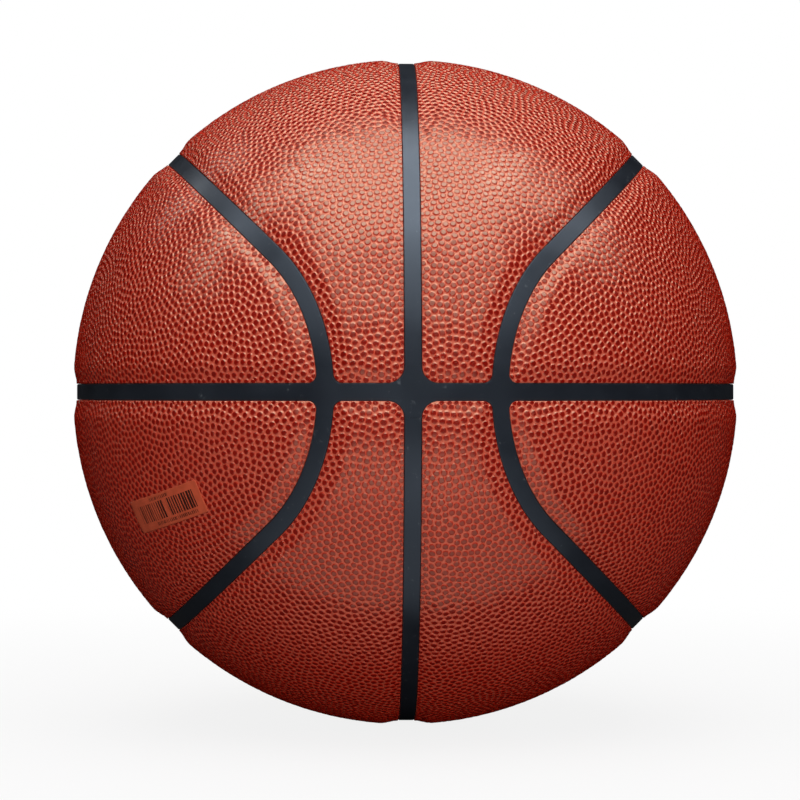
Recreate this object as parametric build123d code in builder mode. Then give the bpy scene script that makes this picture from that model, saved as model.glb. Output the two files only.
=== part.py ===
from build123d import *
import os
from math import acos, asin, atan2, cos, degrees, pi, radians, sin, sqrt

# A size 7 basketball with eight pebbled panels and inlaid channel strips.
# The origin is the centre of the ball and +Z is up. The seam crossing that faces the viewer
# lies towards -Y. Lengths are in millimetres and angles in degrees.

# Ball and its layers, from the outside in
circumference = 749.3
cover_thickness = 2.0
sponge_thickness = 1.0
carcass_thickness = 1.0
winding_thickness = 0.6
bladder_thickness = 0.8
glue_line = 0.15

# Channels between the panels
strip_width = 5.6
strip_edge_radius = 0.5
channel_depth = 1.4
edge_rise = 0.1
seam_gap = 0.15
shoulder_reach = 7.6
crest_angle = 4
cross_corner_radius = 5.5
loop_corner_radius = 3.0

# Course of the two oval seams: flanks on tilted great circles, joined by round bends
flank_tilt = 45
loop_bend_radius = 56.3

# Joints of the strips
stub_reach = 8.2
butt_gap = 0.06

# Valve
valve_offset = 17
valve_rise = 36
stem_radius = 4.2
stem_clearance = 0.2
mouth_recess = 0.9
flange_radius = 11
flange_thickness = 1.2
boss_length = 9
core_radius = 2.3
core_clearance = 0.08
core_head_radius = 3.1
core_head_thickness = 1.2
core_seat_gap = 0.1
core_overhang = 1.5
needle_radius = 1.05
funnel_radius = 1.9
funnel_depth = 0.7

# Clear sticker on the lower left side panel
sticker_width = 38
sticker_height = 11.5
sticker_corner_radius = 1
sticker_thickness = 0.12
sticker_lift = 0.05
sticker_longitude = -46
sticker_latitude = -18.9
sticker_turn = 14

# Room that every cut runs past what it cuts
overrun = 4

# Radii of the layers
crown_radius = circumference / (2 * pi)
cover_inner = crown_radius - cover_thickness
sponge_outer = cover_inner - glue_line
sponge_inner = sponge_outer - sponge_thickness
carcass_outer = sponge_inner - glue_line
carcass_inner = carcass_outer - carcass_thickness
winding_outer = carcass_inner - glue_line
winding_inner = winding_outer - winding_thickness
bladder_outer = winding_inner - glue_line
bladder_inner = bladder_outer - bladder_thickness
strip_top = crown_radius - channel_depth
strip_floor = carcass_outer + glue_line

# Directions of the oval seam on the right
tilt = radians(flank_tilt)
bend_angle = asin(loop_bend_radius / crown_radius)
bend_azimuth = acos(sin(bend_angle) / sin(tilt))
crossing_azimuth = bend_azimuth + bend_angle
bend_sweep = acos(sin(bend_azimuth) * sin(tilt) / cos(bend_angle))
flank_sweep = atan2(sin(bend_azimuth), cos(bend_azimuth) * cos(tilt))
flank_middle = Vector(cos(tilt), 0, sin(tilt))
back = Vector(0, 1, 0)
up = Vector(0, 0, 1)
right = Vector(1, 0, 0)

# Each run of a seam: the axis it turns about, where it starts and how far it turns
front_bend = (
    Vector(-cos(bend_azimuth), sin(bend_azimuth), 0),
    Vector(cos(crossing_azimuth), -sin(crossing_azimuth), 0),
    degrees(bend_sweep),
)
flank = (
    Vector(-sin(tilt), 0, cos(tilt)),
    flank_middle * cos(flank_sweep) - back * sin(flank_sweep),
    degrees(2 * flank_sweep),
)
back_bend = (
    Vector(-cos(bend_azimuth), -sin(bend_azimuth), 0),
    flank_middle * cos(flank_sweep) + back * sin(flank_sweep),
    degrees(bend_sweep),
)
equator = (up, -back, 180)
meridian = (-right, -back, 180)
loop_runs = [front_bend, flank, back_bend]
seam_runs = loop_runs + [equator, meridian]

# Valve axis
valve_depth = sqrt(crown_radius**2 - valve_offset**2 - valve_rise**2)
valve_direction = Vector(valve_offset, valve_depth, valve_rise).normalized()
valve_axis = Axis((0, 0, 0), valve_direction)
valve_plane = Plane((0, 0, 0), x_dir=right, z_dir=valve_direction)
valve_section = Plane((0, 0, 0), x_dir=valve_plane.x_dir, z_dir=-valve_plane.y_dir)
mouth_height = crown_radius - mouth_recess
hole_radius = stem_radius + stem_clearance
flange_top = bladder_inner - glue_line
flange_foot = sqrt(flange_top**2 - flange_radius**2) - flange_thickness
boss_foot = flange_foot - boss_length

os.makedirs("parts", exist_ok=True)


def export_piece(shape, name):
    """Label one finished piece and write it under its own name."""
    shape.label = name
    export_step(shape, f"parts/{name}.step")


def section_plane(run):
    """Plane across the start of a run: local x points out of the ball, local y across the seam."""
    axis, start, _ = run
    return Plane((0, 0, 0), x_dir=start, z_dir=axis.cross(start))


def turn_section(profile, run):
    """Cut the section of a seam out of the part that is being built, along one run."""
    axis, _, sweep = run
    revolve(profile, axis=Axis((0, 0, 0), axis), revolution_arc=sweep, mode=Mode.SUBTRACT)


def panel_blanks(inner, outer, half_width, corner_growth):
    """Upper right centre and side panels between two radii, with straight faces in and out."""
    middle = (inner + outer) / 2
    depth = outer - inner + 2 * overrun
    with BuildPart() as quarter:
        Sphere(outer)
        Sphere(inner, mode=Mode.SUBTRACT)
        split(bisect_by=Plane.XY.offset(half_width), keep=Keep.TOP)
        split(bisect_by=Plane.YZ.offset(half_width), keep=Keep.TOP)
        for run in loop_runs:
            with BuildSketch(section_plane(run)) as gap:
                with Locations((middle, 0)):
                    Rectangle(depth, 2 * half_width)
            turn_section(gap.sketch, run)
        lowest_edges = quarter.edges().group_by(Axis.Z)[0]
        corners = lowest_edges.sort_by(SortBy.LENGTH)[:6].sort_by(Axis.X)
        fillet(corners[:2], cross_corner_radius + corner_growth)
        lowest_edges = quarter.edges().group_by(Axis.Z)[0]
        corners = lowest_edges.sort_by(SortBy.LENGTH)[:4]
        fillet(corners, loop_corner_radius + corner_growth)
    return quarter.part


def draw_valley(half_width):
    """Section of the hollow over a seam: level at the strip, then up a round shoulder to the crown."""
    edge = strip_top + edge_rise
    reach = half_width + shoulder_reach
    crest = sqrt(crown_radius**2 - reach**2)
    crest_slope = asin(reach / crown_radius) - radians(crest_angle)
    lid = crown_radius + overrun
    with BuildLine() as outline:
        floor = Line((edge, -half_width), (edge, half_width))
        near = TangentArc((crest, reach), floor @ 1, tangent=(sin(crest_slope), -cos(crest_slope)))
        Polyline(near @ 0, (lid, reach), (lid, -reach), (crest, -reach))
        mirror(near, about=Plane.XZ)
    make_face(outline.edges())


def crowned_panels():
    """The two cover panels of the upper right quarter, with their edges drawn down to the strips."""
    half_width = strip_width / 2 + seam_gap
    with BuildPart() as quarter:
        add(panel_blanks(cover_inner, crown_radius, half_width, -seam_gap))
        for run in seam_runs:
            with BuildSketch(section_plane(run)) as valley:
                draw_valley(half_width)
            turn_section(valley.sketch, run)
    return quarter.part


def place_quarter(solid, side, level):
    """Mirror a piece of the upper right quarter to another quarter."""
    if side == "left":
        solid = solid.mirror(Plane.YZ)
    if level == "lower":
        solid = solid.mirror(Plane.XY)
    return solid


def bore_for_valve(radius):
    """Cut the hole that the valve stem passes through."""
    with BuildSketch(valve_plane) as hole:
        Circle(radius)
    extrude(hole.sketch, amount=crown_radius + overrun, mode=Mode.SUBTRACT)


def layer_shell(name, outer, inner):
    """One closed layer under the cover, with its valve hole."""
    with BuildPart() as layer:
        Sphere(outer)
        Sphere(inner, mode=Mode.SUBTRACT)
        bore_for_valve(hole_radius)
    export_piece(layer.part, name)


# Cover panels and the sponge layers laminated under them
cover_quarter = crowned_panels().solids().sort_by(Axis.Z)
sponge_quarter = panel_blanks(sponge_inner, sponge_outer, strip_width / 2 + seam_gap, -seam_gap)
sponge_quarter = sponge_quarter.solids().sort_by(Axis.Z)
for material, quarter_solids in (("panel", cover_quarter), ("sponge", sponge_quarter)):
    for place, solid in zip(("side", "center"), quarter_solids):
        for level in ("upper", "lower"):
            for side in ("left", "right"):
                with BuildPart() as piece:
                    add(place_quarter(solid, side, level))
                    if (place, level, side) == ("center", "upper", "right"):
                        bore_for_valve(hole_radius)
                export_piece(piece.part, f"{place}_{material}_{level}_{side}")

# Channel strips: what the panels leave free, with soft rims, parted at the ends of the cross stubs
strip_blanks = panel_blanks(strip_floor - overrun, strip_top + overrun, strip_width / 2, 0)
with BuildPart() as strip_net:
    Sphere(strip_top, rotation=(0, degrees(tilt), 0))
    Sphere(strip_floor, rotation=(0, degrees(tilt), 0), mode=Mode.SUBTRACT)
    for level in ("upper", "lower"):
        for side in ("left", "right"):
            add(place_quarter(strip_blanks, side, level), mode=Mode.SUBTRACT)
    outer_rims = strip_net.edges().group_by(lambda edge: (edge @ 0.5).length)[-1]
    fillet(outer_rims, strip_edge_radius)

# The equator strip is one length, closed by a butt joint at the outer edge of the right oval seam
closing_angle = 90 - degrees(crossing_azimuth - asin(strip_width / 2 / crown_radius))
with BuildPart() as equator_strip:
    add(strip_net.part)
    split(bisect_by=Plane.XY.offset(stub_reach), keep=Keep.BOTTOM)
    split(bisect_by=Plane.XY.offset(-stub_reach), keep=Keep.TOP)
    with BuildSketch(Plane.XZ.rotated((0, 0, closing_angle)).offset(strip_floor - overrun)) as slit:
        Rectangle(butt_gap, 2 * stub_reach)
    extrude(slit.sketch, amount=2 * overrun, mode=Mode.SUBTRACT)
export_piece(equator_strip.part, "equator_strip")

for level, keep, joint in (
    ("upper", Keep.TOP, stub_reach + butt_gap),
    ("lower", Keep.BOTTOM, -stub_reach - butt_gap),
):
    with BuildPart() as strips:
        add(strip_net.part)
        split(bisect_by=Plane.XY.offset(joint), keep=keep)
    names = ("loop_strip_left", "meridian_strip", "loop_strip_right")
    for name, solid in zip(names, strips.solids().sort_by(Axis.X)):
        with BuildPart() as strip:
            add(solid)
        export_piece(strip.part, f"{name}_{level}")

# Layers under the cover
layer_shell("carcass", carcass_outer, carcass_inner)
layer_shell("thread_winding", winding_outer, winding_inner)
layer_shell("bladder", bladder_outer, bladder_inner)

# Valve housing: a stem through every layer, and a flange bonded inside the bladder
cavity_radius = core_radius + core_clearance
head_pocket_radius = core_head_radius + core_clearance
head_floor = mouth_height - core_head_thickness - core_seat_gap
with BuildPart() as valve_body:
    with BuildSketch(valve_section):
        with Locations((0, flange_foot)):
            Rectangle(flange_radius, flange_top, align=(Align.MIN, Align.MIN))
        Circle(flange_top, mode=Mode.INTERSECT)
        with Locations((0, boss_foot)):
            Rectangle(stem_radius, mouth_height - boss_foot, align=(Align.MIN, Align.MIN))
        with Locations((0, boss_foot)):
            Rectangle(cavity_radius, crown_radius, align=(Align.MIN, Align.MIN), mode=Mode.SUBTRACT)
        with Locations((0, head_floor)):
            Rectangle(head_pocket_radius, crown_radius, align=(Align.MIN, Align.MIN), mode=Mode.SUBTRACT)
    revolve(axis=valve_axis)
export_piece(valve_body.part, "valve_body")

# Valve core: a headed plug with the needle passage down its middle
core_foot = boss_foot - core_overhang
head_underside = mouth_height - core_head_thickness
with BuildPart() as valve_core:
    with BuildSketch(valve_section):
        with BuildLine():
            Polyline(
                (needle_radius, core_foot),
                (core_radius, core_foot),
                (core_radius, head_underside),
                (core_head_radius, head_underside),
                (core_head_radius, mouth_height),
                (funnel_radius, mouth_height),
                (needle_radius, mouth_height - funnel_depth),
                close=True,
            )
        make_face()
    revolve(axis=valve_axis)
export_piece(valve_core.part, "valve_core")

# Clear sticker: a rectangle of thin film laid on the crown of its panel
with BuildPart() as sticker:
    longitude = radians(sticker_longitude)
    latitude = radians(sticker_latitude)
    outward = Vector(cos(latitude) * sin(longitude), -cos(latitude) * cos(longitude), sin(latitude))
    level_edge = Vector(cos(longitude), sin(longitude), 0)
    with BuildSketch(Plane((0, 0, 0), x_dir=level_edge, z_dir=outward)):
        RectangleRounded(sticker_width, sticker_height, sticker_corner_radius, rotation=sticker_turn)
    extrude(amount=crown_radius + overrun)
    Sphere(crown_radius + sticker_lift + sticker_thickness, mode=Mode.INTERSECT)
    Sphere(crown_radius + sticker_lift, mode=Mode.SUBTRACT)
export_piece(sticker.part, "retail_sticker")
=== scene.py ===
from collections import namedtuple
from itertools import chain
from math import acos, asin, atan2, cos, pi, radians, sin, sqrt

import bmesh
import bpy
import numpy as np
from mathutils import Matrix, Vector
from mathutils.geometry import delaunay_2d_cdt
from mathutils.kdtree import KDTree


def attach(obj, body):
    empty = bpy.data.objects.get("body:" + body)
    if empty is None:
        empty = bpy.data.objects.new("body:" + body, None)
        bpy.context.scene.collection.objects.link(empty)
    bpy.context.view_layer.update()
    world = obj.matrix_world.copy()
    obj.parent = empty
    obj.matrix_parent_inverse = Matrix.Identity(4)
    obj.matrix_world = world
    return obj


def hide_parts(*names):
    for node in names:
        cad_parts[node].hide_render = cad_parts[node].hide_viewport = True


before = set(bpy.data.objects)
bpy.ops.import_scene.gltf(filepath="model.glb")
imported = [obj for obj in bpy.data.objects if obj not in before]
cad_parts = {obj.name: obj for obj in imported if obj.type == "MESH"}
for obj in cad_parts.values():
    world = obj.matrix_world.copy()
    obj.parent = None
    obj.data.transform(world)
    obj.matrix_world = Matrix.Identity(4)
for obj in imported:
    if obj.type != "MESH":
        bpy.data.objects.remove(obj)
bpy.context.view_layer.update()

# Ball and channels, as in the CAD part
circumference = 0.7493
cover_thickness = 0.0020
strip_width = 0.0056
seam_gap = 0.00015
cross_corner_radius = 0.00535
loop_corner_radius = 0.00285
flank_tilt = radians(45)
loop_bend_radius = 0.0563

# Rounded edge of a panel: an S shaped shoulder up to the crown, steeper towards the edge
edge_drop = 0.0012
shoulder_reach = 0.0068
shoulder_power = 0.9

# Valve hole in the back of the ball
valve_offset = 0.017
valve_rise = 0.036
valve_hole_radius = 0.0044
hole_edge_drop = 0.00025
hole_edge_reach = 0.0012

# Pebble grain of the cover
pebble_pitch = 0.00246
pebble_height = 0.00034
pebble_dome = 0.00003
pebble_tilt = radians(1.3)
ring_points = 9
rim_parts = 3
random_seed = 7

# Shares of the pebble pitch: width of a pebble's flat top and foot, the least slope between them,
# the usual and the least room round a centre, and how near to a panel's edge a centre may lie
disc_share = 0.64
foot_share = 1.0
slope_share = 0.02
even_room_share = 0.525
least_room_share = 0.04
edge_room_share = 0.16
# Centres this far outside a panel are drawn onto it, and those up to the second value limit its cells
edge_pull_share = 0.35
beside_share = 3.0

# Shares of the room round a pebble that its top and foot may fill
top_room_share = 0.82
foot_room_share = 0.95

# Shares by which pebbles differ in width and height, and by which their outlines are oval and uneven
size_spread_share = 0.07
height_spread_share = 0.1
oval_share = 0.07
ripple_share = 0.03

# Shares of the oval and of a pebble's height that its foot takes, and of the lightest tone in the web
foot_oval_share = 0.4
foot_rise_share = 0.06
web_tone_share = 0.5

# Spacing of the pebbles: scatter at the start, then rounds of pushing near ones apart
seed_jitter_share = 0.30
push_reach_share = 1.25
push_step_share = 0.2
neighbour_count = 8
relax_rounds = 6
relax_steps = 4

# Sums on the unit sphere and in its flat map
gradient_step = 1e-4
least_distance = 1e-9
least_facing = 1e-6
cell_tolerance = 1e-6
edge_rounds = 3
# Points nearer to a pole than this height take their tangents from another axis
pole_height = 0.8
# Neighbours of a panel are taken up to this far past the plane of symmetry
fold_overlap = 0.1
# More than a full turn, so that angles sort cell by cell
turn_stride = 8

# Flat map of a panel for baking: its free border as a share of the map, its rim as a share of the
# pebble pitch, and its underside as a share of the face
map_border_share = 0.02
map_rim_share = 0.25
underside_share = 0.5

# Strips: distance at which corners are welded, and depth below the top that is still the outer face
weld_distance = 1e-7
strip_face_depth = 0.00012

# Clear sticker on the lower left side panel
sticker_width = 0.038
sticker_height = 0.0115
sticker_corner_radius = 0.001
sticker_thickness = 0.00012
sticker_lift = 0.00005
sticker_sag = 0.00004
sticker_longitude = radians(-46)
sticker_latitude = radians(-18.9)
sticker_turn = radians(14)
sticker_columns = 114
sticker_rows = 36
# The sag grows between these distances from the nearest pebble's centre, in shares of the pitch
sag_start_share = 0.2
sag_full_share = 0.7

# Print on the sticker, in shares of its width and height: two groups of bars and two rows of marks
bar_count = 30
bar_salt = 0.37
bar_group_shares = [(0.10, 0.50), (0.55, 0.93)]
bar_height_shares = (0.25, 0.78)
bar_fill_shares = (0.18, 0.82)
mark_count = 42
mark_salt = 0.81
mark_row_shares = [((0.30, 0.90), (0.09, 0.19)), ((0.32, 0.60), (0.83, 0.93))]
mark_fill_shares = (0.3, 0.8)
mark_ink_share = 0.8
# Strength of the ink, and the part of the width over which it grows
ink_shares = (0.7, 0.97)
ink_rise_shares = (0.1, 0.5)

# Leather of the cover. Heights are shares of a pebble's height, and the web lies between pebbles
web_low_color = (0.57, 0.080, 0.045)
web_high_color = (0.45, 0.018, 0.006)
web_height_shares = (0.04, 0.45)
top_dark_color = (0.19, 0.0015, 0.0006)
top_light_color = (0.25, 0.003, 0.001)
top_height_shares = (0.80, 0.97)
stain_limits = (0.35, 0.65)
stain_tone_share = 0.5
stain_height_share = 0.02
cover_roughness = (0.42, 0.22)
smooth_height_shares = (0.06, 0.45)
cover_ior = 1.8
web_gloss_color = (1.0, 1.0, 0.68, 1)
top_gloss_color = (1.0, 0.88, 0.64, 1)
# Gloss falls off between these values of facing, which is 0 head on and 1 at the outline
gloss_fade_limits = (0.30, 0.80)

# Rubber: stops of the mottle between dark and light, and spread of the roughness
mottle_stops = (0.3, 0.7)
roughness_spread = 0.04

# Rubber of the strips
strip_dark_color = (0.010, 0.012, 0.017)
strip_light_color = (0.014, 0.017, 0.023)
strip_gloss_color = (0.68, 0.82, 1.0, 1)
strip_roughness = (0.31, 0.41)
strip_roughness_limits = (0.35, 0.65)
strip_ior = 1.58
strip_grain_depth = 0.000006
scuff_color = (0.10, 0.11, 0.12, 1)
scuff_limits = (0.64, 0.70)
scuff_share = 0.6

# Sponge, thread winding and film of the sticker
pore_scale = 900.0
pore_depth = 0.0001
pore_stops = (0.0, 0.6)
# Painted shade: the pores' hollows are coloured darker, where their bump is lowest
pore_shade_color = (0.45, 0.38, 0.25)
sponge_color = (0.66, 0.58, 0.42)
sponge_roughness = 0.9
thread_scale = 420.0
thread_distortion = 6.0
thread_detail = 3.0
thread_depth = 0.0002
thread_stops = (0.1, 0.9)
# Painted shade: the grooves between turns of thread are coloured darker, where their bump is lowest
thread_groove_shade_color = (0.42, 0.40, 0.34)
thread_light_color = (0.74, 0.72, 0.66)
thread_roughness = 0.6
film_stops = (0.35, 0.65)
film_dark_color = (0.50, 0.078, 0.034)
film_light_color = (0.60, 0.098, 0.044)
film_roughness = (0.45, 0.60)
film_gloss = 0.3
ink_color = (0.012, 0.006, 0.005, 1)

# Noise patterns, by their scale per metre
Noise = namedtuple("Noise", "scale detail roughness", defaults=(0.5,))
cover_stain = Noise(90, 3)
strip_mottle = Noise(70, 4)
strip_scuffs = Noise(420, 5, 0.65)
strip_grain = Noise(900, 3)
rubber_mottle = Noise(60, 4)
rubber_grain = Noise(1500, 2)
film_mottle = Noise(260, 3)
film_haze = Noise(500, 2)

# Photograph: image size, and where the ball's outline lies in it, in pixels
image_size = 800
outline_center_x = 405.22
outline_center_y = 391.94
outline_radius = 332.2

# Camera, with its distance as a share of the crown radius and its sensor in millimetres
camera_turn = radians(1.225)
camera_distance_share = 8.0
camera_clip_start = 0.01
sensor_width = 36.0

# Floor, which is whiter further from the ball, and strengths of the surround
floor_width = 12.0
floor_color = (0.8, 0.8, 0.8, 1)
floor_dim_color = (0.03, 0.03, 0.03, 1)
floor_roughness = 0.9
floor_white_shares = (0.85, 1.0)
floor_white_distances = (0.15, 0.60)
white_color = (1, 1, 1, 1)
white_strength = 1.0
ambient_strength = 0.02
gloss_surround_strength = 0.01

crown_radius = circumference / (2 * pi)
camera_distance = camera_distance_share * crown_radius
rng = np.random.default_rng(random_seed)

# Course of the oval seams
bend_angle = asin(loop_bend_radius / crown_radius)
bend_azimuth = acos(sin(bend_angle) / sin(flank_tilt))
bend_center = np.array([cos(bend_azimuth), sin(bend_azimuth), 0.0])
flank_normal = np.array([sin(flank_tilt), 0.0, -cos(flank_tilt)])
tangent_turn = atan2(sin(bend_azimuth), cos(bend_azimuth) * cos(flank_tilt))
tangent_point = np.array([
    cos(tangent_turn) * cos(flank_tilt),
    sin(tangent_turn),
    cos(tangent_turn) * sin(flank_tilt),
])
bend_side = np.cross(tangent_point, bend_center)
bend_side = bend_side * np.sign(bend_side[1])

valve_depth = sqrt(crown_radius**2 - valve_offset**2 - valve_rise**2)
valve_direction = np.array([valve_offset, valve_depth, valve_rise]) / crown_radius

Panel = namedtuple("Panel", "place level side")
PANELS = [
    Panel(place, level, side)
    for place in ("center", "side")
    for level in ("upper", "lower")
    for side in ("left", "right")
]
VALVE_PANEL = Panel("center", "upper", "right")
STRIPS = ["equator_strip", "meridian_strip_upper", "meridian_strip_lower"] + [
    f"loop_strip_{side}_{level}"
    for side in ("left", "right")
    for level in ("upper", "lower")
]

# Rubber of the pieces that keep their CAD shapes, with the depth of its grain
Rubber = namedtuple("Rubber", "name dark light roughness grain")
RUBBERS = {
    "carcass": Rubber("carcass_rubber", (0.020, 0.019, 0.018), (0.032, 0.031, 0.030), 0.75, 0.00004),
    "bladder": Rubber("butyl_rubber", (0.010, 0.010, 0.010), (0.018, 0.018, 0.019), 0.45, 0.00001),
    "valve_body": Rubber("valve_rubber", (0.012, 0.012, 0.012), (0.022, 0.022, 0.023), 0.50, 0.00002),
    "valve_core": Rubber("core_rubber", (0.008, 0.008, 0.008), (0.014, 0.014, 0.015), 0.40, 0.00001),
}

# Studio lamps: place, width and depth, power in watts, the point aimed at, and whether the lamp
# shines as a reflection in glossy surfaces and fills matt colour
Lamp = namedtuple("Lamp", "name place size power aim shines fills", defaults=((0, 0, 0), True, True))
LAMPS = [
    Lamp("top_softbox", (0, -0.34, 1.08), (1.2, 1.0), 9.7),
    Lamp("upper_card", (0, -0.95, 0.66), (1.6, 0.5), 2.3),
    Lamp("left_wing", (-1.02, -0.15, 1.08), (0.20, 1.1), 1.9, (-0.2, -0.15, 0), fills=False),
    Lamp("left_back_wing", (-1.05, 0.70, 1.08), (0.22, 0.6), 0.9, (-0.2, 0.4, 0), fills=False),
    Lamp("right_wing", (0.90, -0.15, 1.08), (0.50, 0.95), 2.3, (0.2, -0.05, 0), fills=False),
    Lamp("top_fill", (0, 0.5, 1.1), (1.0, 0.6), 3.8, shines=False),
    Lamp("low_card", (0, -0.155, -0.115), (0.24, 0.10), 0.022, (0, -0.155, 1), fills=False),
    Lamp("floor_card", (0, -0.32, -0.115), (0.24, 0.22), 0.085, (0, -0.32, 1), fills=False),
    Lamp("front_softbox", (0.1, -2.0, 0.15), (1.6, 0.5), 29, shines=False),
    Lamp("back_left_softbox", (-1.0, 1.8, 0.2), (1.2, 1.0), 14, shines=False),
    Lamp("back_right_softbox", (1.0, 1.8, 0.2), (1.2, 1.0), 14, shines=False),
]


def unit(vectors):
    """Scale vectors to length 1."""
    return vectors / np.linalg.norm(vectors, axis=-1, keepdims=True)


def loop_distance(points):
    """Distance on the crown from the nearer oval seam, positive inside the oval."""
    folded = np.abs(points)
    flank = np.arcsin(np.clip(folded @ flank_normal, -1, 1))
    bend = bend_angle - np.arccos(np.clip(folded @ bend_center, -1, 1))
    return crown_radius * np.where(folded @ bend_side > 0, bend, flank)


def rounded_corner(first, second, radius):
    """Distance from two edges whose corner is rounded to a radius."""
    near = (first < radius) & (second < radius)
    round_part = radius - np.hypot(radius - first, radius - second)
    return np.where(near, round_part, np.minimum(first, second))


def seam_distance(points, panel):
    """Distance on the crown from the seams round a panel, folded into the upper right quarter."""
    half = strip_width / 2 + seam_gap
    equator = crown_radius * np.arcsin(np.clip(points[:, 2], -1, 1)) - half
    loop = loop_distance(points)
    if panel.place == "side":
        return rounded_corner(equator, loop - half, loop_corner_radius)
    meridian = crown_radius * np.arcsin(np.clip(points[:, 0], -1, 1)) - half
    return np.minimum(
        rounded_corner(equator, -loop - half, loop_corner_radius),
        rounded_corner(equator, meridian, cross_corner_radius),
    )


def hole_distance(points):
    """Distance on the crown from the edge of the valve hole."""
    return crown_radius * np.arccos(np.clip(points @ valve_direction, -1, 1)) - valve_hole_radius


def edge_distance(points, panel):
    """Distance on the crown from the nearest edge of a panel, positive on the panel."""
    distance = seam_distance(points, panel)
    if panel == VALVE_PANEL:
        distance = np.minimum(distance, hole_distance(points))
    return distance


def drop_at(points, panel):
    """How far the cover lies below the crown near a panel's edges."""
    share = np.clip(seam_distance(points, panel) / shoulder_reach, 0, 1) ** shoulder_power
    drop = edge_drop * (1 + np.cos(pi * share)) / 2
    if panel == VALVE_PANEL:
        share = np.clip(hole_distance(points) / hole_edge_reach, 0, 1)
        drop = drop + hole_edge_drop * (1 - share) ** 2
    return drop


def tangent_frame(points):
    """Two directions along the surface at each point."""
    helper = np.where(np.abs(points[:, 2:3]) < pole_height, [[0.0, 0.0, 1.0]], [[1.0, 0.0, 0.0]])
    first = unit(np.cross(helper, points))
    return first, np.cross(points, first)


def edge_gradient(points, panel):
    """Direction along the surface in which the distance from the edge grows."""
    first, second = tangent_frame(points)
    slopes = []
    for direction in (first, second):
        ahead = edge_distance(unit(points + gradient_step * direction), panel)
        behind = edge_distance(unit(points - gradient_step * direction), panel)
        slopes.append((ahead - behind)[:, None])
    return unit(slopes[0] * first + slopes[1] * second)


def slide(points, panel, distances):
    """Move points over the surface, away from the panel's edge by the given distances."""
    shift = edge_gradient(points, panel) * (distances / crown_radius)[:, None]
    return unit(points + shift)


def onto_edge(points, panel):
    """Move points that lie near a panel's edge onto it."""
    for _ in range(edge_rounds):
        points = slide(points, panel, -edge_distance(points, panel))
    return points


def neighbour_tree(points):
    """Search tree of points on the unit sphere."""
    tree = KDTree(len(points))
    for number, point in enumerate(points):
        tree.insert(point, number)
    tree.balance()
    return tree


def relax(points):
    """Push pebble centres apart a little, several times for one set of neighbours."""
    tree = neighbour_tree(points)
    nearest = [tree.find_n(point, neighbour_count + 1)[1:] for point in points]
    neighbours = np.array([[hit[1] for hit in hits] for hits in nearest])
    reach = push_reach_share * pebble_pitch / crown_radius
    for _ in range(relax_steps):
        away = points[:, None, :] - points[neighbours]
        distance = np.linalg.norm(away, axis=2, keepdims=True)
        push = np.clip(1 - distance / reach, 0, None) * away / np.maximum(distance, least_distance)
        points = unit(points + push_step_share * reach * push.sum(axis=1))
    return points


def scatter_seeds():
    """Pebble centres over the whole ball, relaxed into a loose hexagonal packing."""
    count = int(4 * pi * crown_radius**2 / (pebble_pitch**2 * sqrt(3) / 2))
    index = np.arange(count) + 0.5
    height = 1 - 2 * index / count
    turn = pi * (1 + sqrt(5)) * index
    ring = np.sqrt(1 - height**2)
    points = np.stack([ring * np.cos(turn), ring * np.sin(turn), height], axis=1)
    jitter = rng.normal(0, seed_jitter_share * pebble_pitch / crown_radius, points.shape)
    points = unit(points + jitter)
    for _ in range(relax_rounds):
        points = relax(points)
    return points


def panel_seeds(points, panel, mirror):
    """Pebble centres on one panel, and those round it, folded into the upper right quarter."""
    folded = points * mirror
    distance = edge_distance(folded, panel)
    inside = (distance > -edge_pull_share * pebble_pitch) & (folded[:, 0] > 0)
    beside = (distance > -beside_share * pebble_pitch) & (folded[:, 0] > -fold_overlap) & ~inside
    seeds = folded[inside]
    short = np.clip(edge_room_share * pebble_pitch - distance[inside], 0, None)
    return slide(seeds, panel, short), folded[beside]


def flatten(points, seeds):
    """Stereographic map about the middle of a panel's seeds, in units of the crown radius."""
    middle = unit(seeds.mean(axis=0))
    first, second = tangent_frame(middle[None, :])
    scale = 2 / (1 + points @ middle)
    return np.stack([points @ first[0] * scale, points @ second[0] * scale], axis=1)


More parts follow.
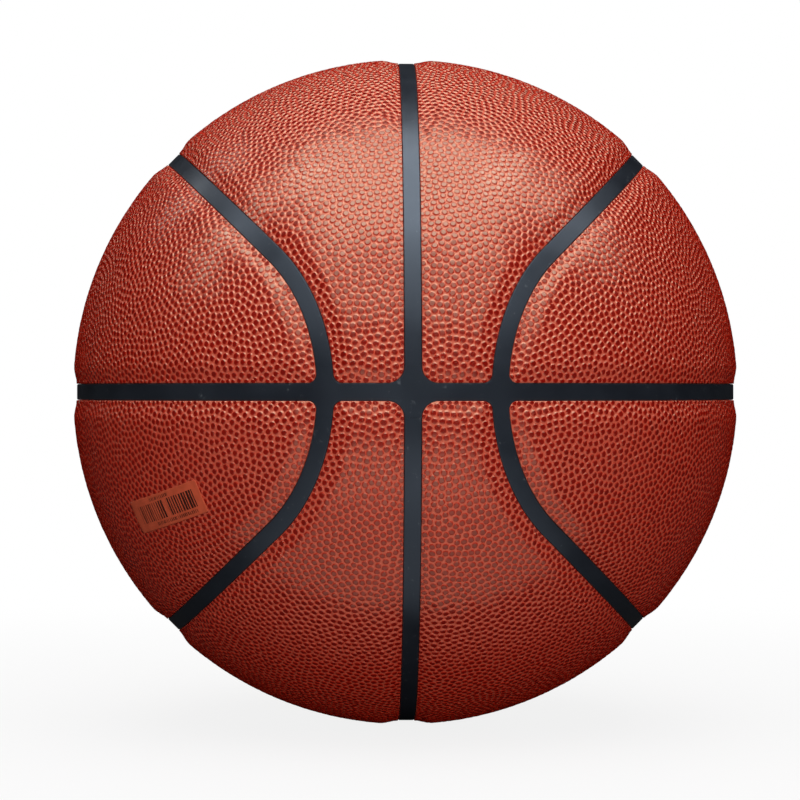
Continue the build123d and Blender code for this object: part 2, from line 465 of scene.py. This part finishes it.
class Cells:
    """Voronoi cells of a panel's pebbles, with their corners in order round each seed."""

    def __init__(self, seeds, others, panel):
        self.seeds = seeds
        self.panel = panel
        self.first, self.second = tangent_frame(seeds)
        points = np.concatenate([seeds, others])
        flat = flatten(points, seeds) * crown_radius / pebble_pitch
        joined = delaunay_2d_cdt([Vector(place) for place in flat], [], [], 0, cell_tolerance)
        triangles = np.array(joined[2])
        a, b, c = (points[triangles[:, k]] for k in range(3))
        corners = unit(np.cross(b - a, c - a))
        corners = corners * np.sign((corners * a).sum(axis=1, keepdims=True))
        cell = triangles.ravel()
        corner = np.repeat(np.arange(len(triangles)), 3)
        keep = cell < len(seeds)
        cell, corner = cell[keep], corner[keep]
        outer = (triangles >= len(seeds)).any(axis=1) | (edge_distance(corners, panel) < 0)
        outer &= np.bincount(corner, minlength=len(corners)) > 0
        corners[outer] = onto_edge(corners[outer], panel)
        self.put_in_order(corners, cell, corner)
        self.divide_rim()

    def put_in_order(self, corners, cell, corner):
        """Sort the corners of each cell round its seed, seen from outside the ball."""
        spoke = corners[corner] - self.seeds[cell]
        ahead = (spoke * self.first[cell]).sum(axis=1)
        beside = (spoke * self.second[cell]).sum(axis=1)
        angle = np.arctan2(beside, ahead)
        order = np.lexsort((angle, cell))
        self.corners = corners
        self.cell, self.corner, self.angle = cell[order], corner[order], angle[order]
        self.spoke = np.stack([ahead, beside], axis=1)[order]
        self.counts = np.bincount(cell, minlength=len(self.seeds))
        self.starts = np.cumsum(self.counts) - self.counts
        self.following = np.arange(len(cell)) + 1
        self.following[self.starts + self.counts - 1] = self.starts

    def rim(self):
        """Which sides of the cells belong to one cell only, and so lie on the panel's edge."""
        pairs = np.sort(np.stack([self.corner, self.corner[self.following]], axis=1), axis=1)
        _, inverse, uses = np.unique(pairs, axis=0, return_inverse=True, return_counts=True)
        return uses[inverse.ravel()] == 1

    def divide_rim(self):
        """Divide the cell sides on the panel's edge, so that they follow its curve."""
        rim = self.rim()
        start = self.corners[self.corner[rim]]
        end = self.corners[self.corner[self.following][rim]]
        extra = [start + (end - start) * part / rim_parts for part in range(1, rim_parts)]
        extra = onto_edge(unit(np.concatenate(extra)), self.panel)
        numbers = len(self.corners) + np.arange(len(extra))
        cell = np.concatenate([self.cell, np.tile(self.cell[rim], rim_parts - 1)])
        used, corner = np.unique(np.concatenate([self.corner, numbers]), return_inverse=True)
        self.put_in_order(np.concatenate([self.corners, extra])[used], cell, corner)

    def side_at(self, pebble, angle):
        """The side of a cell that lies at an angle, by the place of its first corner."""
        order = turn_stride * self.cell + self.angle
        place = np.searchsorted(order, turn_stride * pebble + angle, side="right") - 1
        last = self.starts[pebble] + self.counts[pebble] - 1
        return np.where(place < self.starts[pebble], last, place)

    def room_at(self, pebble, angle):
        """Distance from a cell's seed to its side at an angle."""
        place = self.side_at(pebble, angle)
        start, end = self.spoke[place], self.spoke[self.following[place]]
        side = end - start
        reach = start[..., 0] * end[..., 1] - start[..., 1] * end[..., 0]
        facing = np.cos(angle) * side[..., 1] - np.sin(angle) * side[..., 0]
        size = pebble_pitch / crown_radius
        return np.clip(reach / np.maximum(facing, least_facing), least_room_share * size, size)

    def corner_near(self, pebble, angle):
        """The corner of a cell that lies nearest to an angle, by its place."""
        place = self.side_at(pebble, angle)
        ahead = (angle - self.angle[place]) % (2 * pi)
        behind = (self.angle[self.following[place]] - angle) % (2 * pi)
        return np.where(ahead < behind, place, self.following[place])


def wrap(angle):
    """Bring angles between -pi and pi."""
    return (angle + pi) % (2 * pi) - pi


def pebble_rings(cells):
    """Angles of each pebble's ring of points, and the reach of its flat top and of its foot."""
    count = len(cells.seeds)
    size = pebble_pitch / crown_radius
    pebble = np.arange(count)[:, None]
    step = 2 * pi / ring_points
    start = rng.uniform(0, step, (count, 1)) - pi
    angle = start + step * np.arange(ring_points)
    room = cells.room_at(pebble, angle)
    growth = (1 + room.mean(axis=1, keepdims=True) / (even_room_share * size)) / 2
    growth = growth * rng.uniform(1 - size_spread_share, 1 + size_spread_share, (count, 1))
    oval = 1 + oval_share * np.cos(2 * (angle - rng.uniform(0, pi, (count, 1))))
    oval = oval + rng.normal(0, ripple_share, angle.shape)
    foot_oval = 1 + foot_oval_share * (oval - 1)
    foot = np.minimum(foot_share / 2 * size * growth * foot_oval, foot_room_share * room)
    top = np.minimum(disc_share / 2 * size * growth * oval, top_room_share * room)
    return start[:, 0], angle, np.minimum(top, foot - slope_share * size), foot


def panel_faces(cells, start):
    """Faces of a panel as vertex numbers, and the same faces as numbers in its flat map."""
    count, n = len(cells.seeds), len(cells.corners)
    step = 2 * pi / ring_points
    pebble = np.arange(count)[:, None]
    ring = np.arange(count * ring_points).reshape(count, ring_points)
    foot = n + ring
    top = n + ring.size + ring
    center = n + 2 * ring.size + np.repeat(pebble, ring_points, axis=1)
    next_foot, next_top = np.roll(foot, -1, axis=1), np.roll(top, -1, axis=1)
    inner = n + 2 * ring.size + count + cells.corner
    middle = wrap(start[:, None] + step * (np.arange(ring_points) + 0.5))
    valley = cells.corner[cells.corner_near(pebble, middle)]
    gap = (cells.angle[cells.following] - cells.angle) % (2 * pi)
    turn = (cells.angle + gap / 2 - start[cells.cell]) / step
    facing = foot[cells.cell, np.rint(turn).astype(int) % ring_points]
    here, there = cells.corner, cells.corner[cells.following]
    rim = cells.rim()
    skirt = np.stack([there, here, inner, inner[cells.following]], axis=1)[rim]
    groups = [
        np.stack([top, next_top, center], axis=2).reshape(-1, 3),
        np.stack([foot, next_foot, next_top, top], axis=2).reshape(-1, 4),
        np.stack([foot, valley, next_foot], axis=2).reshape(-1, 3),
        np.stack([here, there, facing], axis=1),
        skirt,
    ]
    base = [inner[s:s + k][::-1].tolist() for s, k in zip(cells.starts, cells.counts)]
    faces = [face for group in groups for face in group.tolist()] + base
    groups[-1] = skirt + np.array([0, 0, n, n])
    flat_faces = [face for group in groups for face in group.tolist()] + base
    return faces, flat_faces


def panel_map(cells, directions):
    """Flat map of a panel: its face, its underside above it at half size, and its rim's outer edge."""
    rim_width = np.full(len(cells.corners), map_rim_share * pebble_pitch)
    outside = slide(cells.corners, cells.panel, -rim_width)
    flat = flatten(np.concatenate([directions, outside]), cells.seeds)
    low = flat.min(axis=0)
    span = flat[:, 0].max() - low[0]
    flat = map_border_share + (1 - 2 * map_border_share) * (flat - low) / span
    face, outside = flat[:len(directions)], flat[len(directions):]
    under = underside_share * face[:len(cells.corners)] + np.array([0, 1 - underside_share])
    return np.concatenate([face, under, outside])


def panel_mesh(name, cells, mirror):
    """Closed mesh of one cover panel, with every pebble as a small flat topped boss."""
    seeds, corners = cells.seeds, cells.corners
    count, n = len(seeds), len(corners)
    start, angle, top_reach, foot_reach = pebble_rings(cells)

    def around(reach):
        ahead = (reach * np.cos(angle))[:, :, None] * cells.first[:, None, :]
        beside = (reach * np.sin(angle))[:, :, None] * cells.second[:, None, :]
        return unit(seeds[:, None, :] + ahead + beside)

    foot, top = around(foot_reach), around(top_reach)
    relief = pebble_height * rng.uniform(1 - height_spread_share, 1 + height_spread_share, (count, 1))
    tilt = rng.normal(0, pebble_tilt, (count, 1, 3))
    lean = (tilt * (top - seeds[:, None, :])).sum(axis=2) * crown_radius
    ring = count * ring_points
    directions = np.concatenate([corners, foot.reshape(-1, 3), top.reshape(-1, 3), seeds])
    rise = np.concatenate([
        np.zeros(n),
        np.repeat(foot_rise_share * relief, ring_points),
        (relief + lean).ravel(),
        relief.ravel() + pebble_dome,
    ])
    base_radius = crown_radius - pebble_height - pebble_dome
    radius = base_radius - drop_at(directions, cells.panel) + rise
    inner_points = corners * (crown_radius - cover_thickness)
    vertices = np.concatenate([directions * radius[:, None], inner_points]) * mirror

    faces, flat_faces = panel_faces(cells, start)
    if mirror.prod() < 0:
        faces = [face[::-1] for face in faces]
        flat_faces = [face[::-1] for face in flat_faces]
    mesh = bpy.data.meshes.new(name)
    mesh.from_pydata(vertices.tolist(), [], faces, shade_flat=False)
    tone = rng.uniform(0, 1, count)
    ring_tone = np.repeat(tone, ring_points)
    values = {
        "pebble": [np.zeros(n), np.full(ring, foot_rise_share), np.ones(ring + count), np.zeros(n)],
        "tone": [np.full(n, web_tone_share), ring_tone, ring_tone, tone, np.zeros(n)],
    }
    for key, parts in values.items():
        numbers = np.concatenate(parts).astype(np.float32)
        mesh.attributes.new(key, "FLOAT", "POINT").data.foreach_set("value", numbers)
    ends = np.empty(2 * len(mesh.edges), dtype=np.int32)
    mesh.edges.foreach_get("vertices", ends)
    ends = ends.reshape(-1, 2)
    on_rim = ((ends >= n + ring) & (ends < n + 2 * ring)).all(axis=1)
    on_skirt = (ends >= n + 2 * ring + count).any(axis=1)
    sharp = mesh.attributes.new("sharp_edge", "BOOLEAN", "EDGE")
    sharp.data.foreach_set("value", on_rim | on_skirt)
    flat = panel_map(cells, directions)[list(chain.from_iterable(flat_faces))]
    layer = mesh.uv_layers.new(name="OFBake")
    layer.uv.foreach_set("vector", flat.astype(np.float32).ravel())
    return mesh


def add_piece(mesh, node):
    """Put a mesh into the scene in the place of a CAD node of the ball."""
    piece = bpy.data.objects.new(mesh.name, mesh)
    bpy.context.scene.collection.objects.link(piece)
    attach(piece, "ball")
    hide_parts(node)


def add_panels(seeds_of_ball):
    """The eight pebbled cover panels."""
    material = cover_material()
    for panel in PANELS:
        node = f"{panel.place}_panel_{panel.level}_{panel.side}"
        mirror = np.array([1 if panel.side == "right" else -1, 1, 1 if panel.level == "upper" else -1])
        seeds, others = panel_seeds(seeds_of_ball, panel, mirror)
        mesh = panel_mesh(f"pebbled_{node}", Cells(seeds, others, panel), mirror)
        mesh.materials.append(material)
        add_piece(mesh, node)


def strip_mesh(node):
    """A strip's own mesh with welded corners, shaded as part of a sphere on its outer face."""
    shape = bmesh.new()
    shape.from_mesh(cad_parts[node].data)
    bmesh.ops.remove_doubles(shape, verts=shape.verts, dist=weld_distance)
    mesh = bpy.data.meshes.new(f"satin_{node}")
    shape.to_mesh(mesh)
    shape.free()
    places = np.empty(3 * len(mesh.vertices), dtype=np.float32)
    mesh.vertices.foreach_get("co", places)
    places = places.reshape(-1, 3)
    radius = np.linalg.norm(places, axis=1)
    normals = np.empty(3 * len(mesh.vertices), dtype=np.float32)
    mesh.vertex_normals.foreach_get("vector", normals)
    normals = normals.reshape(-1, 3)
    outer = radius > radius.max() - strip_face_depth
    normals[outer] = unit(places[outer])
    mesh.normals_split_custom_set_from_vertices(normals.tolist())
    return mesh


def add_strips():
    """The channel strips."""
    material = strip_material()
    for node in STRIPS:
        mesh = strip_mesh(node)
        mesh.materials.clear()
        mesh.materials.append(material)
        add_piece(mesh, node)


def sticker_directions(across, along):
    """Unit vectors to places on the sticker, given by distances along and across it."""
    outward = np.array([
        cos(sticker_latitude) * sin(sticker_longitude),
        -cos(sticker_latitude) * cos(sticker_longitude),
        sin(sticker_latitude),
    ])
    level = np.array([cos(sticker_longitude), sin(sticker_longitude), 0.0])
    upward = np.cross(outward, level)
    first = cos(sticker_turn) * level + sin(sticker_turn) * upward
    second = cos(sticker_turn) * upward - sin(sticker_turn) * level
    depth = np.sqrt(crown_radius**2 - along**2 - across**2)
    parts = [along[:, None] * first, across[:, None] * second, depth[:, None] * outward]
    return sum(parts) / crown_radius


def add_sticker(seeds_of_ball):
    """Thin film with rounded corners, which sags a little between the pebbles under it."""
    share = np.linspace(-1, 1, sticker_columns)
    across = np.linspace(-1, 1, sticker_rows) * sticker_height / 2
    corner = sticker_corner_radius
    past = np.clip(np.abs(across) - (sticker_height / 2 - corner), 0, corner)
    half = sticker_width / 2 - corner + np.sqrt(corner**2 - past**2)
    along = (half[:, None] * share).ravel()
    across = np.repeat(across, sticker_columns)
    directions = sticker_directions(across, along)
    tree = neighbour_tree(seeds_of_ball)
    gap = np.array([tree.find(direction)[2] for direction in directions]) * crown_radius / pebble_pitch
    sag = sticker_sag * np.clip((gap - sag_start_share) / (sag_full_share - sag_start_share), 0, 1)
    under = crown_radius + sticker_lift
    top = directions * (under + sticker_thickness - sag)[:, None]
    vertices = np.concatenate([top, directions * under])

    n = len(directions)
    number = np.arange(n).reshape(sticker_rows, sticker_columns)
    quads = np.stack([number[:-1, :-1], number[:-1, 1:], number[1:, 1:], number[1:, :-1]], axis=2)
    quads = quads.reshape(-1, 4)
    edge = np.concatenate([number[0, :-1], number[:-1, -1], number[-1, :0:-1], number[:0:-1, 0]])
    following = np.roll(edge, -1)
    wall = np.stack([edge, edge + n, following + n, following], axis=1)
    faces = np.concatenate([quads, quads[:, ::-1] + n, wall])
    mesh = bpy.data.meshes.new("printed_sticker")
    mesh.from_pydata(vertices.tolist(), [], faces.tolist(), shade_flat=False)
    places = np.stack([along / sticker_width + 0.5, across / sticker_height + 0.5], axis=1)
    places = np.concatenate([places, places])[faces.ravel()]
    mesh.uv_layers.new(name="print").uv.foreach_set("vector", places.astype(np.float32).ravel())
    mesh.materials.append(sticker_material())
    add_piece(mesh, "retail_sticker")


class Nodes:
    """Nodes of a material or world under construction, with short ways to add and join them."""

    def __init__(self, owner):
        owner.use_nodes = True
        self.owner = owner
        self.tree = owner.node_tree
        self.shader = self.tree.nodes.get("Principled BSDF")

    def add(self, kind, **inputs):
        """Add a node, and set its inputs to values or join them to other nodes' outputs."""
        node = self.tree.nodes.new(f"ShaderNode{kind}")
        for key, value in inputs.items():
            self.put(node.inputs[key.replace("_", " ")], value)
        return node

    def put(self, socket, value):
        """Set one input to a value, or join it to an output."""
        if isinstance(value, bpy.types.NodeSocket):
            self.tree.links.new(value, socket)
        else:
            socket.default_value = value

    def math(self, operation, first, second=0.0):
        """Result of one sum."""
        node = self.add("Math")
        node.operation = operation
        self.put(node.inputs[0], first)
        self.put(node.inputs[1], second)
        return node.outputs["Value"]

    def attribute(self, name):
        """Value of a mesh attribute."""
        node = self.add("Attribute")
        node.attribute_name = name
        return node.outputs["Fac"]

    def place(self):
        """Place in the object's own frame."""
        return self.add("TexCoord").outputs["Object"]

    def noise(self, pattern):
        """Noise fixed to the object."""
        node = self.add(
            "TexNoise",
            Vector=self.place(),
            Scale=pattern.scale,
            Detail=pattern.detail,
            Roughness=pattern.roughness,
        )
        return node.outputs["Fac"]

    def ramp(self, value, stops, *colors):
        """Colour that goes with a value, from one stop's colour to the other's."""
        node = self.add("ValToRGB", Fac=value)
        for element, position, color in zip(node.color_ramp.elements, stops, colors):
            element.position = position
            element.color = (*color, 1)
        return node.outputs["Color"]

    def between(self, value, low, high, from_low=0.0, from_high=1.0):
        """Value carried from one range to another."""
        limits = {"From_Min": from_low, "From_Max": from_high, "To_Min": low, "To_Max": high}
        return self.add("MapRange", Value=value, **limits).outputs["Result"]

    def mix(self, share, first, second):
        """Blend of two colours."""
        node = self.add("Mix")
        node.data_type = "RGBA"
        self.put(node.inputs["Factor"], share)
        self.put(node.inputs["A"], first)
        self.put(node.inputs["B"], second)
        return node.outputs["Result"]

    def blend(self, share, first, second):
        """Blend of two shaders."""
        node = self.add("MixShader", Fac=share)
        self.put(node.inputs[1], first)
        self.put(node.inputs[2], second)
        return node.outputs["Shader"]

    def seen(self):
        """1 for rays from the camera, also through clear things, and 0 for other rays."""
        path = self.add("LightPath").outputs
        return self.math("ADD", path["Is Camera Ray"], path["Is Transmission Ray"])

    def bump(self, height, depth):
        """Fine relief on the shader's surface."""
        node = self.add("Bump", Height=height, Distance=depth)
        self.put(self.shader.inputs["Normal"], node.outputs["Normal"])

    def finish(self, **inputs):
        """Set the shader's inputs and hand over the material."""
        for key, value in inputs.items():
            self.put(self.shader.inputs[key.replace("_", " ")], value)
        return self.owner


def material_nodes(name):
    """Nodes of a new material."""
    return Nodes(bpy.data.materials.new(name))


def cover_material():
    """Pebbled composite leather: dark glossy pebble tops over a lighter web."""
    nodes = material_nodes("pebbled_leather")
    pebble = nodes.attribute("pebble")
    tone = nodes.attribute("tone")
    stain = nodes.between(nodes.noise(cover_stain), 0.0, 1.0, *stain_limits)
    shade = nodes.math("ADD", tone, nodes.math("MULTIPLY", stain, stain_tone_share))
    height = nodes.math("ADD", pebble, nodes.between(stain, -stain_height_share, stain_height_share))
    web = nodes.ramp(height, web_height_shares, web_low_color, web_high_color)
    disc = nodes.ramp(shade, (0.0, 1.0), top_dark_color, top_light_color)
    top = nodes.between(pebble, 0.0, 1.0, *top_height_shares)
    facing = nodes.add("LayerWeight").outputs["Facing"]
    return nodes.finish(
        Base_Color=nodes.mix(top, web, disc),
        Roughness=nodes.between(pebble, *cover_roughness, *smooth_height_shares),
        IOR=cover_ior,
        Specular_IOR_Level=nodes.between(facing, 1.0, 0.0, *gloss_fade_limits),
        Specular_Tint=nodes.mix(top, web_gloss_color, top_gloss_color),
    )


def rubber_material(rubber):
    """Plain rubber with a faint mottle and a fine grain."""
    nodes = material_nodes(rubber.name)
    mottle = nodes.noise(rubber_mottle)
    low, high = rubber.roughness - roughness_spread, rubber.roughness + roughness_spread
    nodes.bump(nodes.noise(rubber_grain), rubber.grain)
    return nodes.finish(
        Base_Color=nodes.ramp(mottle, mottle_stops, rubber.dark, rubber.light),
        Roughness=nodes.between(mottle, low, high),
    )


def strip_material():
    """Smooth dark rubber of the channel strips, with a few pale scuffs."""
    nodes = material_nodes("strip_rubber")
    mottle = nodes.noise(strip_mottle)
    base = nodes.ramp(mottle, mottle_stops, strip_dark_color, strip_light_color)
    scuff = nodes.between(nodes.noise(strip_scuffs), 0.0, scuff_share, *scuff_limits)
    nodes.bump(nodes.noise(strip_grain), strip_grain_depth)
    return nodes.finish(
        Base_Color=nodes.mix(scuff, base, scuff_color),
        Roughness=nodes.between(mottle, *strip_roughness, *strip_roughness_limits),
        IOR=strip_ior,
        Specular_IOR_Level=1.0,
        Specular_Tint=strip_gloss_color,
    )


def sponge_material():
    """Pale closed cell sponge, with painted shade darkening the hollows of its pores."""
    nodes = material_nodes("sponge")
    pores = nodes.add("TexVoronoi", Vector=nodes.place(), Scale=pore_scale).outputs["Distance"]
    nodes.bump(pores, pore_depth)
    # Painted shade: darker colour at the pores' low points, taken from the same pattern as their bump
    color = nodes.ramp(pores, pore_stops, pore_shade_color, sponge_color)
    return nodes.finish(Base_Color=color, Roughness=sponge_roughness)


def thread_material():
    """Layers of wound nylon thread, with painted shade darkening the grooves between turns."""
    nodes = material_nodes("wound_thread")
    wave = nodes.add(
        "TexWave",
        Vector=nodes.place(),
        Scale=thread_scale,
        Distortion=thread_distortion,
        Detail=thread_detail,
    )
    turns = wave.outputs["Fac"]
    nodes.bump(turns, thread_depth)
    # Painted shade: the grooves, low in the bump, take the darker colour
    color = nodes.ramp(turns, thread_stops, thread_groove_shade_color, thread_light_color)
    return nodes.finish(Base_Color=color, Roughness=thread_roughness)


def sticker_material():
    """Film in the cover's colours, printed with two groups of plain bars and two rows of marks."""
    nodes = material_nodes("printed_film")
    place = nodes.add("UVMap")
    place.uv_map = "print"
    split = nodes.add("SeparateXYZ", Vector=place.outputs["UV"])
    along, across = split.outputs["X"], split.outputs["Y"]

    def within(value, limits):
        low, high = limits
        above = nodes.math("GREATER_THAN", value, low)
        return nodes.math("MULTIPLY", above, nodes.math("LESS_THAN", value, high))

    def columns(count, salt, fill_shares):
        place = nodes.math("MULTIPLY", along, count)
        dice = nodes.add("TexWhiteNoise")
        dice.noise_dimensions = "1D"
        nodes.put(dice.inputs["W"], nodes.math("ADD", nodes.math("FLOOR", place), salt))
        width = nodes.between(dice.outputs["Value"], *fill_shares)
        return nodes.math("LESS_THAN", nodes.math("FRACT", place), width)

    groups = nodes.math("ADD", *(within(along, group) for group in bar_group_shares))
    bars = nodes.math("MULTIPLY", groups, within(across, bar_height_shares))
    bars = nodes.math("MULTIPLY", bars, columns(bar_count, bar_salt, bar_fill_shares))
    rows = nodes.math("ADD", *(
        nodes.math("MULTIPLY", within(along, wide), within(across, high))
        for wide, high in mark_row_shares
    ))
    marks = nodes.math("MULTIPLY", rows, columns(mark_count, mark_salt, mark_fill_shares))
    marks = nodes.math("MULTIPLY", marks, mark_ink_share)
    strength = nodes.between(along, *ink_shares, *ink_rise_shares)
    ink = nodes.math("MULTIPLY", strength, nodes.math("ADD", bars, marks))
    film = nodes.ramp(nodes.noise(film_mottle), film_stops, film_dark_color, film_light_color)
    return nodes.finish(
        Base_Color=nodes.mix(ink, film, ink_color),
        Roughness=nodes.between(nodes.noise(film_haze), *film_roughness),
        Specular_IOR_Level=film_gloss,
    )


def dress_cad_nodes():
    """Materials for the layers and the valve, which keep their CAD shapes."""
    sponge = sponge_material()
    dressed = {node: rubber_material(rubber) for node, rubber in RUBBERS.items()}
    dressed["thread_winding"] = thread_material()
    for name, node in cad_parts.items():
        material = sponge if "sponge" in name else dressed.get(name)
        if material:
            node.data.materials.clear()
            node.data.materials.append(material)


def add_camera():
    """Camera at the photograph's place, with the ball where the photograph has it."""
    camera = bpy.data.cameras.new("camera")
    reach = sqrt(camera_distance**2 - crown_radius**2) / crown_radius
    camera.sensor_width = sensor_width
    camera.lens = sensor_width * outline_radius * reach / image_size
    camera.shift_x = (image_size / 2 - outline_center_x) / image_size
    camera.shift_y = (outline_center_y - image_size / 2) / image_size
    camera.clip_start = camera_clip_start
    stand = bpy.data.objects.new("camera", camera)
    stand.location = (-camera_distance * sin(camera_turn), -camera_distance * cos(camera_turn), 0)
    stand.rotation_euler = (pi / 2, 0, -camera_turn)
    bpy.context.scene.collection.objects.link(stand)
    bpy.context.scene.camera = stand


def add_lamp(lamp):
    """Soft light that shines as a reflection in glossy surfaces, fills in matt colour, or does both."""
    light = bpy.data.lights.new(lamp.name, "AREA")
    light.shape = "RECTANGLE"
    light.size, light.size_y = lamp.size
    light.energy = lamp.power
    stand = bpy.data.objects.new(lamp.name, light)
    stand.location = lamp.place
    toward = Vector(lamp.aim) - Vector(lamp.place)
    stand.rotation_euler = toward.to_track_quat("-Z", "Y").to_euler()
    stand.visible_camera = False
    stand.visible_glossy = lamp.shines
    stand.visible_diffuse = lamp.fills
    bpy.context.scene.collection.objects.link(stand)


def add_world():
    """White behind the ball, a low even light round it, and a dim surround in its gloss."""
    world = bpy.data.worlds.new("studio")
    bpy.context.scene.world = world
    nodes = Nodes(world)
    nodes.tree.nodes.clear()
    strengths = (ambient_strength, gloss_surround_strength, white_strength)
    ambient, surround, white = (
        nodes.add("Background", Color=white_color, Strength=strength).outputs["Background"]
        for strength in strengths
    )
    glossy = nodes.add("LightPath").outputs["Is Glossy Ray"]
    unseen = nodes.blend(glossy, ambient, surround)
    nodes.add("OutputWorld", Surface=nodes.blend(nodes.seen(), unseen, white))


def floor_material():
    """White floor that keeps the ball's shadow and throws little light back at the ball."""
    nodes = material_nodes("floor_white")
    distance = nodes.add("VectorMath")
    distance.operation = "LENGTH"
    nodes.put(distance.inputs[0], nodes.add("NewGeometry").outputs["Position"])
    share = nodes.between(distance.outputs["Value"], *floor_white_shares, *floor_white_distances)
    share.node.interpolation_type = "SMOOTHSTEP"
    dim = nodes.add("BsdfDiffuse", Color=floor_dim_color).outputs["BSDF"]
    white = nodes.add("Emission", Color=white_color).outputs["Emission"]
    lit = nodes.blend(share, nodes.shader.outputs["BSDF"], white)
    shown = nodes.blend(nodes.seen(), dim, lit)
    nodes.put(nodes.tree.nodes["Material Output"].inputs["Surface"], shown)
    return nodes.finish(Base_Color=floor_color, Roughness=floor_roughness, Specular_IOR_Level=0.0)


def add_floor():
    """Wide floor that the ball rests on."""
    half = floor_width / 2
    outline = [(-half, -half), (half, -half), (half, half), (-half, half)]
    mesh = bpy.data.meshes.new("floor")
    mesh.from_pydata([(x, y, -crown_radius) for x, y in outline], [], [(0, 1, 2, 3)])
    mesh.materials.append(floor_material())
    floor = bpy.data.objects.new("floor", mesh)
    bpy.context.scene.collection.objects.link(floor)


def add_stage():
    """Camera, lights, floor and background."""
    add_camera()
    add_world()
    add_floor()
    for lamp in LAMPS:
        add_lamp(lamp)
    bpy.context.scene.view_settings.view_transform = "Standard"


pebble_seeds = scatter_seeds()
add_panels(pebble_seeds)
add_strips()
add_sticker(pebble_seeds)
dress_cad_nodes()
add_stage()
